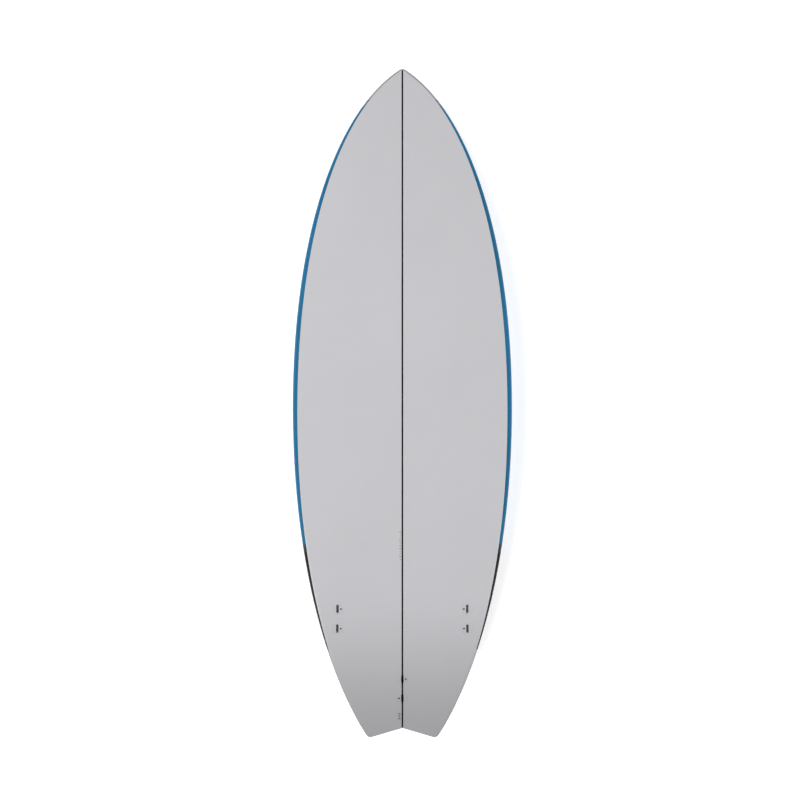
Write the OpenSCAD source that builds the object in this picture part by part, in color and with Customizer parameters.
// Shortboard surfboard with a swallow tail and six tab plugs, lying deck down
// with its fin side up. X runs across, Y towards the nose, Z up from the floor.
// Every shaped piece is cut from one loft, so each fits the next.

/* [Board] */
// Length from the nose tip to the tail tips
board_length = 1727; // [1700:1:1780]
// Width at the wide point
board_width = 552; // [530:1:570]
// Thickness on the centre line at the thickest place
board_thickness = 66; // [60:0.5:72]
// Distance of the wide point behind mid-length
wide_point_back = 18; // [5:1:40]
// Distance of the thickest place ahead of mid-length
thick_point_forward = 20; // [0:1:60]

/* [Nose and tail] */
// Radius of the nose tip in plan
nose_radius = 14; // [8:1:24]
// Angle of the nose edges back from straight across
nose_edge_angle = 35; // [30:1:40]
// Distance from the centre line to each tail tip
tail_tip_x = 83; // [75:1:90]
// Radius of each tail tip in plan
tail_tip_radius = 11; // [8:1:14]
// Angle between the rail and the centre line at the tail
tail_rail_angle = 33; // [28:1:38]
// Depth of the swallow notch
notch_depth = 25; // [18:1:34]

/* [Foil] */
// Rise of the nose tip off a flat surface
nose_rocker = 125; // [110:1:140]
// Rise of the tail off a flat surface
tail_rocker = 59; // [50:1:68]
// Distance of the flattest place behind mid-length
flat_point_back = 40; // [20:1:80]
// Thickness at the nose tip
nose_thickness = 9; // [8:0.5:12]
// Thickness at the tail tips
tail_thickness = 10; // [9:0.5:13]
// Depth of the single concave in the bottom
concave_depth = 2.5; // [0:0.5:5]

/* [Rails] */
// Depth of the rail's widest line under the bottom, at mid-length
rail_apex_depth = 17; // [14:0.5:20]
// Width of the curved tuck at mid-length
tuck_width = 14; // [12:0.5:18]
// Width of the coloured rail on the bottom at its widest
rail_colour_width = 11; // [9:0.5:12]
// Width of the coloured rail lap on the deck
rail_lap_width = 42; // [30:1:50]

/* [Construction] */
// Thickness of the glass skins
skin = 0.8; // [0.6:0.1:1.2]
// Thickness of the stringer
stringer_width = 3.5; // [3:0.5:5]
// Resin line between pieces
bond = 0.05; // [0.03:0.01:0.1]

/* [Fin plugs] */
// Spacing of the two plugs that hold one fin
plug_spacing = 51; // [50:0.5:52]
// Distance of the side fin plugs from the centre line
side_plug_x = 165; // [150:1:172]
// Distance of the middle of a side fin ahead of the tail tips
side_fin_forward = 315; // [300:1:330]
// Distance of the middle of the centre fin ahead of the tail tips
centre_fin_forward = 131; // [122:1:140]
// Turn of the side fins towards the nose tip
side_fin_toe = 1; // [0:0.5:4]
// Radius of a plug
plug_radius = 14; // [13.5:0.5:15]
// Depth of a plug
plug_depth = 16; // [15.5:0.5:17]
// Width of the tab slot
slot_width = 6.5; // [6:0.1:7]
// Length of the tab slot
slot_length = 22.4; // [20:0.2:23]
// Depth of the tab slot
slot_depth = 13.5; // [12:0.5:14]
// Radius of a grub screw
screw_radius = 2.3; // [2:0.1:2.4]
// Tilt of a grub screw towards its slot
screw_tilt = 30; // [25:1:35]
// Distance from the slot to where a grub screw enters the plug's face
screw_offset = 9; // [8.8:0.1:9.6]

/* [Leash plug] */
// Distance of the leash plug to the side of the stringer
leash_side = 38; // [36:1:44]
// Distance of the leash plug ahead of the tail tips
leash_forward = 124; // [115:1:135]
// Radius of the leash cup
leash_radius = 15; // [14:0.5:17]
// Radius of the hollow in the leash cup
leash_bore_radius = 11; // [10:0.5:12]
// Depth of the hollow in the leash cup
leash_bore_depth = 12; // [11:0.5:13]
// Radius of the leash pin
leash_pin_radius = 2; // [1.5:0.25:2.5]

/* [Hidden] */

half_length = board_length / 2;
half_width = board_width / 2;
flat_y = -flat_point_back;
// The stringer's two lengths meet this far ahead of the centre fin
stringer_joint = 92;
stringer_joint_y = centre_fin_forward + stringer_joint - half_length;
hole_fn = 64;

// ---- Outline, as a run of points from the nose tip round to the notch ----

// How many straight pieces stand for each stretch of the outline
nose_arc_steps = 3;
nose_steps = 2;
front_steps = 13;
waist_steps = 6;
hip_steps = 4;
tail_steps = 6;
tip_steps = 3;
notch_steps = 4;

// Handles of the two outline curves, which set how full the board is
nose_handle = 0.104 * board_length;
front_handle = 0.272 * board_length;
back_handle = 0.307 * board_length;
tail_handle = 0.032 * board_length;

// Where the rail colours change, from mid-length
front_colour_start = 0.45 * board_length;
front_colour_end = -0.209 * board_length;
middle_colour_end = -0.364 * board_length;

function bezier(c, t) = pow(1 - t, 3) * c[0] + 3 * pow(1 - t, 2) * t * c[1]
    + 3 * (1 - t) * t * t * c[2] + pow(t, 3) * c[3];

// The curve's parameter where it crosses a given y, by halving
function crossing(c, y, low = 0, high = 1, turns = 24) = let (middle = (low + high) / 2)
    turns == 0 ? middle
    : bezier(c, middle).y > y ? crossing(c, y, middle, high, turns - 1)
    : crossing(c, y, low, middle, turns - 1);

function stretch(c, from, to, steps) = [for (i = [1:steps]) bezier(c, from + (to - from) * i / steps)];

function arc(centre, radius, from, to, steps) =
    [for (i = [1:steps]) centre + radius * polar(from + (to - from) * i / steps)];

function polar(angle) = [cos(angle), sin(angle)];

nose_centre = [0, half_length - nose_radius];
nose_end = nose_centre + nose_radius * polar(90 - nose_edge_angle);
wide_point = [half_width, -wide_point_back];
tip_centre = [tail_tip_x, tail_tip_radius - half_length];
rail_end = tip_centre + tail_tip_radius * polar(-tail_rail_angle);
notch = [0, notch_depth - half_length];
notch_reach = norm(notch - tip_centre);
notch_bearing = atan2(notch.y - tip_centre.y, notch.x - tip_centre.x);
tip_end_angle = notch_bearing + acos(tail_tip_radius / notch_reach) - 360;
tip_end = tip_centre + tail_tip_radius * polar(tip_end_angle);

nose_curve = [nose_end, nose_end + nose_handle * polar(-nose_edge_angle),
    wide_point + [0, front_handle], wide_point];
tail_curve = [wide_point, wide_point - [0, back_handle],
    rail_end + tail_handle * polar(90 - tail_rail_angle), rail_end];

front_start_t = crossing(nose_curve, front_colour_start);
front_end_t = crossing(tail_curve, front_colour_end);
middle_end_t = crossing(tail_curve, middle_colour_end);

outline = concat([[0, half_length]],
    arc(nose_centre, nose_radius, 90, 90 - nose_edge_angle, nose_arc_steps),
    stretch(nose_curve, 0, front_start_t, nose_steps),
    stretch(nose_curve, front_start_t, 1, front_steps),
    stretch(tail_curve, 0, front_end_t, waist_steps),
    stretch(tail_curve, front_end_t, middle_end_t, hip_steps),
    stretch(tail_curve, middle_end_t, 1, tail_steps),
    arc(tip_centre, tail_tip_radius, -tail_rail_angle, -90, tip_steps),
    arc(tip_centre, tail_tip_radius, -90, tip_end_angle, 1),
    [for (i = [1:notch_steps]) tip_end + (notch - tip_end) * i / notch_steps]);

front_start_i = nose_arc_steps + nose_steps;
wide_i = front_start_i + front_steps;
front_end_i = wide_i + waist_steps;
middle_end_i = front_end_i + hip_steps;
last_i = len(outline) - 1;

// ---- Spine, the centre-line point that each outline point is joined to ----

nose_spine_reach = 35;
nose_spine_run = 150;
notch_spine_reach = 30;

walked = [for (i = middle_end_i, a = 0; i <= last_i;
    i = i + 1, a = i > last_i ? a : a + norm(outline[i] - outline[i - 1])) a];
walk_length = walked[last_i - middle_end_i];
spine_drop = outline[middle_end_i].y - notch.y - notch_spine_reach;

function spine_y(i) =
    i > middle_end_i ? outline[middle_end_i].y - spine_drop
        * (1 - pow(1 - walked[i - middle_end_i] / walk_length, walk_length / spine_drop))
    : let (back = half_length - outline[i].y)
        outline[i].y - nose_spine_reach * pow(max(0, 1 - back / nose_spine_run), 2);

// ---- Foil: rocker, thickness and rail sizes along the board ----

nose_rocker_power = 2.2;
tail_rocker_power = 2;
nose_foil_power = 2;
tail_foil_power = 2.3;
deck_power = 2.5;
deck_fullness = 0.58;

rail_apex_nose = 4.5;
rail_apex_tail = 4;
tuck_nose = 8;
tuck_tail = 4.4;
colour_width_end = 3.2;
colour_centre_y = 140;
colour_half_run = 640;
lap_width_end = 18;

function rocker(y) = y > flat_y
    ? nose_rocker * pow((y - flat_y) / (half_length - flat_y), nose_rocker_power)
    : tail_rocker * pow((flat_y - y) / (half_length + flat_y), tail_rocker_power);

function thickness(y) = let (ahead = y - thick_point_forward) ahead > 0
    ? nose_thickness + (board_thickness - nose_thickness)
        * (1 - pow(ahead / (half_length - thick_point_forward), nose_foil_power))
    : tail_thickness + (board_thickness - tail_thickness)
        * (1 - pow(-ahead / (half_length + thick_point_forward), tail_foil_power));

// A size that is full at mid-length and eases to its end value at nose and tail
function eased(y, middle, nose, tail, power) = let (reach = abs(y) / half_length)
    y > 0 ? nose + (middle - nose) * (1 - pow(reach, power))
    : tail + (middle - tail) * (1 - pow(reach, power));

function colour_width(y) = colour_width_end
    + (rail_colour_width - colour_width_end) * max(0, 1 - pow((y - colour_centre_y) / colour_half_run, 2));

function concave(y) = concave_depth * (1 - pow(abs(y) / half_length, 3));

// One line of the loft: outline point, spine point, then the sizes that hold along it
function loft_line(i) = let (p = outline[i], q = [0, spine_y(i)]) [p, q,
    thickness(q.y) + concave(q.y),
    eased(p.y, rail_apex_depth, rail_apex_nose, rail_apex_tail, 2),
    eased(p.y, tuck_width, tuck_nose, tuck_tail, 2.5),
    colour_width(p.y),
    eased(p.y, rail_lap_width, lap_width_end, lap_width_end, 2),
    concave(q.y)];

lines = [for (i = [0:last_i]) loft_line(i)];

// ---- Cross-section along one line: bottom centre, rail, deck centre ----

flat_steps = 4;
tuck_steps = 2;
edge_steps = 3;
lap_steps = 5;
crown_steps = 5;
colour_j = flat_steps + tuck_steps;
apex_j = colour_j + edge_steps;
lap_j = apex_j + lap_steps;
centre_j = lap_j + crown_steps;

function line_point(l, in, drop, pitch) = let (way = (l[1] - l[0]) / norm(l[1] - l[0]), p = l[0] + way * in)
    [p.x, p.y, pitch * p.y - rocker(p.y) - drop];

function hollow(l, across) = l[7] * (1 + cos(180 * across)) / 2;

// A point of the bottom, across is 0 on the spine and 1 on the outline
function bottom_point(l, across, inset, pitch) =
    line_point(l, norm(l[1] - l[0]) * (1 - across), inset + hollow(l, across), pitch);

function tuck_point(l, turn, inset, pitch) = let (in = l[4] - (l[4] - inset) * cos(turn))
    line_point(l, in, l[3] - (l[3] - inset) * sin(turn) + hollow(l, 1 - in / norm(l[1] - l[0])), pitch);

function deck_point(l, across, inset, pitch) = let (reach = norm(l[1] - l[0]))
    line_point(l, inset + (reach - inset) * (1 - across),
        l[3] + (l[2] - l[3] - inset) * pow(max(0, 1 - pow(across, deck_power)), deck_fullness), pitch);

function ring(l, inset, pitch) = let (reach = norm(l[1] - l[0]),
    colour_turn = acos(1 - l[5] / l[4]), lap_across = 1 - l[6] / reach) concat(
    [for (k = [0:flat_steps]) bottom_point(l, (1 - l[4] / reach) * k / flat_steps, inset, pitch)],
    [for (k = [1:tuck_steps]) tuck_point(l, 90 + (colour_turn - 90) * k / tuck_steps, inset, pitch)],
    [for (k = [1:edge_steps]) tuck_point(l, colour_turn * (1 - k / edge_steps), inset, pitch)],
    [for (k = [1:lap_steps]) deck_point(l, 1 - (1 - lap_across) * pow(k / lap_steps, 2), inset, pitch)],
    [for (k = [1:crown_steps]) deck_point(l, lap_across * (1 - k / crown_steps), inset, pitch)]);

// The board rests on its nose tip and both tail tips, so it is tipped until they are level
function lowest(from, to, pitch) =
    min([for (i = [from:to]) for (p = ring(lines[i], 0, pitch)) p.z]);

first_pitch = (nose_rocker + nose_thickness - tail_rocker - tail_thickness) / board_length;
pitch = first_pitch
    + (lowest(wide_i, last_i, first_pitch) - lowest(0, wide_i, first_pitch)) / board_length;
floor_z = lowest(0, last_i, pitch);

function lofted(inset) = [for (l = lines) [for (p = ring(l, inset, pitch)) p - [0, 0, floor_z]]];

outside = lofted(0);
under_skin = lofted(skin);
core_face = lofted(skin + bond);

// ---- Places on the surface ----

function blend(a, b, f) = a * (1 - f) + b * f;

// The loft line whose spine point lies at y
function line_at(y) = let (i = max([for (k = [0:last_i - 1]) if (lines[k][1].y >= y) k]),
    f = (lines[i][1].y - y) / (lines[i][1].y - lines[i + 1][1].y))
    [for (k = [0:len(lines[i]) - 1]) blend(lines[i][k], lines[i + 1][k], f)];

// The point of the bottom or the deck on that line, x to either side of the middle
function on_bottom(x, y) = let (l = line_at(y))
    placed(bottom_point(l, abs(x) / norm(l[1] - l[0]), 0, pitch), x);

function on_deck(x, y) = let (l = line_at(y))
    placed(deck_point(l, abs(x) / norm(l[1] - l[0]), 0, pitch), x);

function placed(p, x) = [x < 0 ? -p.x : p.x, p.y, p.z - floor_z];

probe = 4;
function unit(v) = v / norm(v);
function bottom_normal(x, y) = unit(cross(on_bottom(x + probe, y) - on_bottom(x - probe, y),
    on_bottom(x, y + probe) - on_bottom(x, y - probe)));
function deck_normal(x, y) = -unit(cross(on_deck(x + probe, y) - on_deck(x - probe, y),
    on_deck(x, y + probe) - on_deck(x, y - probe)));

// Frame at a place: its X is across, its Z stands out of the surface
function across_axis(n, turn) = unit([cos(turn), sin(turn), 0] - n * (n * [cos(turn), sin(turn), 0]));
function frame_at(p, n, turn) = let (a = across_axis(n, turn), b = cross(n, a))
    [[a.x, b.x, n.x, p.x], [a.y, b.y, n.y, p.y], [a.z, b.z, n.z, p.z], [0, 0, 0, 1]];

function plug_y(forward, rear) = forward - half_length + (rear ? -0.5 : 0.5) * plug_spacing;

// Each plug: side of the board, distance forward, rear or front, turn, side of its screw
function plug_frame(side, forward, rear, toe) = let (y = plug_y(forward, rear),
    x = side == 0 ? 0 : side_plug_x - (rear ? -0.5 : 0.5) * plug_spacing * sin(toe),
    n = bottom_normal(x, y), p = on_bottom(x, y), s = side < 0 ? -1 : 1)
    frame_at([s * p.x, p.y, p.z], [s * n.x, n.y, n.z], s * toe);

left_front = plug_frame(-1, side_fin_forward, false, side_fin_toe);
left_rear = plug_frame(-1, side_fin_forward, true, side_fin_toe);
right_front = plug_frame(1, side_fin_forward, false, side_fin_toe);
right_rear = plug_frame(1, side_fin_forward, true, side_fin_toe);
centre_front = plug_frame(0, centre_fin_forward, false, 0);
centre_rear = plug_frame(0, centre_fin_forward, true, 0);
leash_frame = let (y = leash_forward - half_length)
    frame_at(on_deck(leash_side, y), deck_normal(leash_side, y), 0);

// Thickness of the resin round a plug, of the leash cup's floor, and how far cutters stand proud
seat = 1.5;
cup_floor = 3;
leash_cup_depth = leash_bore_depth + cup_floor;
above = 5;

// ---- Loft solids ----

function flipped(points, side) = [for (p = points) [side * p.x, p.y, p.z]];

function facing(faces, side) =
    side > 0 ? faces : [for (f = faces) [for (k = [len(f) - 1:-1:0]) f[k]]];

// Two triangles for each cell of a sheet of the loft, whose points start at first. Their
// diagonals lean away from the nose and the notch, where a section lies in the middle plane.
function sheet(first, i0, i1, j0, j1) = [for (i = [i0:i1 - 1]) for (j = [j0:j1 - 1])
    let (columns = j1 - j0 + 1, a = first + (i - i0) * columns + j - j0, b = a + columns)
        each (i < wide_i) == (j < apex_j) ? [[a, a + 1, b + 1], [a, b + 1, b]]
            : [[a, a + 1, b], [a + 1, b + 1, b]]];

// A strip that joins two lists of points, outer and inner, of the same length
function strip(outer, inner) = [for (k = [0:len(outer) - 2])
    each [[outer[k], inner[k], inner[k + 1]], [outer[k], inner[k + 1], outer[k + 1]]]];

function patch_points(i0, i1, j0, j1, side) = flipped(concat(
    [for (i = [i0:i1]) for (j = [j0:j1]) outside[i][j]],
    [for (i = [i0:i1]) for (j = [j0:j1]) under_skin[i][j]]), side);

function patch_faces(i0, i1, j0, j1, side, shift) = let (rows = i1 - i0 + 1, columns = j1 - j0 + 1,
    count = rows * columns, first = shift, second = shift + count)
    facing(concat(
        sheet(first, i0, i1, j0, j1),
        facing(sheet(second, i0, i1, j0, j1), -1),
        i0 == 0 ? [] : strip([for (c = [0:columns - 1]) first + c], [for (c = [0:columns - 1]) second + c]),
        i1 == last_i ? [] : strip([for (c = [columns - 1:-1:0]) first + (rows - 1) * columns + c],
            [for (c = [columns - 1:-1:0]) second + (rows - 1) * columns + c]),
        j0 == 0 ? [] : strip([for (r = [rows - 1:-1:0]) first + r * columns],
            [for (r = [rows - 1:-1:0]) second + r * columns]),
        j1 == centre_j ? [] : strip([for (r = [0:rows - 1]) first + r * columns + columns - 1],
            [for (r = [0:rows - 1]) second + r * columns + columns - 1])), side);

// A patch of skin between two outline places and two section places, on one or both sides
module skin_patch(i0, i1, j0, j1, sides) {
    points = [for (s = sides) each patch_points(i0, i1, j0, j1, s)];
    count = 2 * (i1 - i0 + 1) * (j1 - j0 + 1);
    faces = [for (k = [0:len(sides) - 1]) each patch_faces(i0, i1, j0, j1, sides[k], k * count)];
    polyhedron(points = points, faces = faces, convexity = 6);
}

// Half of the blank, flat where it meets the stringer
module half_blank(side) {
    flat_x = stringer_width / 2 + bond;
    columns = centre_j + 1;
    points = [for (i = [0:last_i]) for (p = core_face[i]) [side * max(p.x, flat_x), p.y, p.z]];
    seam = [for (i = [last_i:-1:0]) i * columns];
    nose_ring = [for (k = [0:centre_j]) (apex_j + columns - k) % columns];
    tail_ring = [for (k = [0:centre_j]) last_i * columns + (apex_j + k) % columns];
    faces = facing(concat(sheet(0, 0, last_i, 0, centre_j),
        strip(seam, [for (first = seam) first + centre_j]), [nose_ring, tail_ring]), side);
    polyhedron(points = points, faces = faces, convexity = 6);
}

// ---- Cutters ----

module plug_hole(frame, radius, depth) {
    multmatrix(frame) translate([0, 0, -depth]) cylinder(r = radius, h = depth + above, $fn = hole_fn);
}

module all_fin_holes(radius, depth) {
    for (f = [left_front, left_rear, right_front, right_rear, centre_front, centre_rear])
        plug_hole(f, radius, depth);
}

// ---- Pieces ----

module foam_core(side) {
    color("whitesmoke") difference() {
        half_blank(side);
        for (f = side < 0 ? [left_front, left_rear, centre_front, centre_rear]
            : [right_front, right_rear, centre_front, centre_rear])
            plug_hole(f, plug_radius + seat + bond, plug_depth + seat + bond);
        if (side > 0)
            plug_hole(leash_frame, leash_radius + seat + bond, leash_cup_depth + seat + bond);
    }
}

module foam_core_left() {
    foam_core(-1);
}

module foam_core_right() {
    foam_core(1);
}

// The stringer's upright board, in one length
module stringer_board() {
    function side_view(p) = [p.y, p.z];
    profile = concat(
        [for (i = [0:last_i]) side_view(core_face[i][0])],
        [for (j = [1:centre_j]) side_view(core_face[last_i][j])],
        [for (i = [last_i - 1:-1:0]) side_view(core_face[i][centre_j])],
        [for (j = [centre_j - 1:-1:1]) side_view(core_face[0][j])]);
    rotate([90, 0, 90]) linear_extrude(stringer_width, center = true) polygon(profile);
}

// All that lies further back than a place along the board
module behind(y) {
    translate([-half_width, y - board_length, 0])
        cube([board_width, board_length, nose_rocker + board_thickness]);
}

module stringer_front() {
    color("dimgray") difference() {
        stringer_board();
        behind(stringer_joint_y);
    }
}

module stringer_tail() {
    color("dimgray") difference() {
        intersection() {
            stringer_board();
            behind(stringer_joint_y - bond);
        }
        for (f = [centre_front, centre_rear])
            plug_hole(f, plug_radius + seat + bond, plug_depth + seat + bond);
    }
}

module bottom_laminate() {
    color("gainsboro") difference() {
        skin_patch(0, last_i, 0, colour_j, [1, -1]);
        all_fin_holes(plug_radius + bond, plug_depth);
    }
}

module deck_laminate() {
    color("white") difference() {
        skin_patch(0, last_i, lap_j, centre_j, [1, -1]);
        plug_hole(leash_frame, leash_radius + bond, leash_cup_depth);
    }
}

module rail_wrap_nose() {
    color("silver") skin_patch(0, front_start_i, colour_j, lap_j, [1, -1]);
}

module rail_wrap_front(side) {
    color("steelblue") skin_patch(front_start_i, front_end_i, colour_j, lap_j, [side]);
}

module rail_wrap_front_left() {
    rail_wrap_front(-1);
}

module rail_wrap_front_right() {
    rail_wrap_front(1);
}

module rail_wrap_middle(side) {
    color("black") skin_patch(front_end_i, middle_end_i, colour_j, lap_j, [side]);
}

module rail_wrap_middle_left() {
    rail_wrap_middle(-1);
}

module rail_wrap_middle_right() {
    rail_wrap_middle(1);
}

module rail_wrap_tail() {
    color("silver") skin_patch(middle_end_i, last_i, colour_j, lap_j, [1, -1]);
}

// The grub screw lies on a line that starts on the plug's face and leans to the slot
module on_screw_line(screw_side) {
    translate([screw_side * screw_offset, 0, 0]) rotate([0, screw_side * screw_tilt, 0]) children();
}

screw_hole_length = 11.5;
screw_head_depth = 1.6;
screw_body_end = 6.9;
screw_tip_end = 8.7;
screw_tip_radius = 1.2;
hex_radius = 1.3;
hex_depth = 2.4;
chamfer = 0.3;
running_gap = 0.05;

module slot_solid(width, length, depth) {
    end = (length - width) / 2;
    translate([-width / 2, -end, -depth]) cube([width, 2 * end, depth + above]);
    for (s = [-1, 1])
        translate([0, s * end, -depth]) cylinder(r = width / 2, h = depth + above, $fn = 32);
}

module fin_plug(frame, screw_side) {
    color("white") multmatrix(frame) difference() {
        translate([0, 0, -plug_depth]) cylinder(r = plug_radius, h = plug_depth, $fn = hole_fn);
        slot_solid(slot_width, slot_length, slot_depth);
        on_screw_line(screw_side) translate([0, 0, -screw_hole_length])
            cylinder(r = screw_radius + running_gap, h = screw_hole_length + above, $fn = 32);
    }
}

module fin_plug_left_front() {
    fin_plug(left_front, 1);
}

module fin_plug_left_rear() {
    fin_plug(left_rear, 1);
}

module fin_plug_right_front() {
    fin_plug(right_front, -1);
}

module fin_plug_right_rear() {
    fin_plug(right_rear, -1);
}

module fin_plug_centre_front() {
    fin_plug(centre_front, 1);
}

module fin_plug_centre_rear() {
    fin_plug(centre_rear, -1);
}

module grub_screw(frame, screw_side) {
    profile = [[0, -screw_tip_end], [screw_tip_radius, -screw_tip_end],
        [screw_tip_radius, -screw_body_end], [screw_radius - chamfer, -screw_body_end],
        [screw_radius, -screw_body_end + chamfer], [screw_radius, -screw_head_depth - chamfer],
        [screw_radius - chamfer, -screw_head_depth], [0, -screw_head_depth]];
    color("gray") multmatrix(frame) on_screw_line(screw_side) difference() {
        rotate_extrude($fn = 48) polygon(profile);
        translate([0, 0, -screw_head_depth - hex_depth])
            cylinder(r = hex_radius, h = hex_depth + above, $fn = 6);
    }
}

module grub_screw_left_front() {
    grub_screw(left_front, 1);
}

module grub_screw_left_rear() {
    grub_screw(left_rear, 1);
}

module grub_screw_right_front() {
    grub_screw(right_front, -1);
}

module grub_screw_right_rear() {
    grub_screw(right_rear, -1);
}

module grub_screw_centre_front() {
    grub_screw(centre_front, 1);
}

module grub_screw_centre_rear() {
    grub_screw(centre_rear, -1);
}

// A cup of resin that fills the routed hole round a plug, up to the underside of the skin
module resin_seat(frame, radius, depth) {
    top = skin + 0.4;
    color("ivory") multmatrix(frame) difference() {
        translate([0, 0, -depth - seat]) cylinder(r = radius + seat, h = depth + seat - top, $fn = hole_fn);
        translate([0, 0, -depth - bond]) cylinder(r = radius + bond, h = depth + above, $fn = hole_fn);
    }
}

module resin_seats_left() {
    resin_seat(left_front, plug_radius, plug_depth);
    resin_seat(left_rear, plug_radius, plug_depth);
}

module resin_seats_right() {
    resin_seat(right_front, plug_radius, plug_depth);
    resin_seat(right_rear, plug_radius, plug_depth);
}

module resin_seats_centre() {
    resin_seat(centre_front, plug_radius, plug_depth);
    resin_seat(centre_rear, plug_radius, plug_depth);
}

// The leash pin crosses the hollow of its cup, with a way under it for the cord
leash_pin_depth = 5;
leash_pin_half = leash_bore_radius + 2.5;

module leash_cup() {
    color("white") multmatrix(leash_frame) difference() {
        translate([0, 0, -leash_cup_depth]) cylinder(r = leash_radius, h = leash_cup_depth, $fn = hole_fn);
        translate([0, 0, -leash_bore_depth])
            cylinder(r = leash_bore_radius, h = leash_bore_depth + above, $fn = hole_fn);
        translate([0, 0, -leash_pin_depth]) rotate([0, 90, 0])
            cylinder(r = leash_pin_radius + bond, h = 2 * (leash_pin_half + bond), center = true, $fn = 32);
    }
}

module leash_pin() {
    color("silver") multmatrix(leash_frame) translate([0, 0, -leash_pin_depth]) rotate([0, 90, 0])
        cylinder(r = leash_pin_radius, h = 2 * leash_pin_half, center = true, $fn = 32);
}

module leash_resin_seat() {
    resin_seat(leash_frame, leash_radius, leash_cup_depth);
}

foam_core_left();
foam_core_right();
stringer_front();
stringer_tail();
bottom_laminate();
deck_laminate();
rail_wrap_nose();
rail_wrap_front_left();
rail_wrap_front_right();
rail_wrap_middle_left();
rail_wrap_middle_right();
rail_wrap_tail();
fin_plug_left_front();
fin_plug_left_rear();
fin_plug_right_front();
fin_plug_right_rear();
fin_plug_centre_front();
fin_plug_centre_rear();
grub_screw_left_front();
grub_screw_left_rear();
grub_screw_right_front();
grub_screw_right_rear();
grub_screw_centre_front();
grub_screw_centre_rear();
resin_seats_left();
resin_seats_right();
resin_seats_centre();
leash_cup();
leash_pin();
leash_resin_seat();
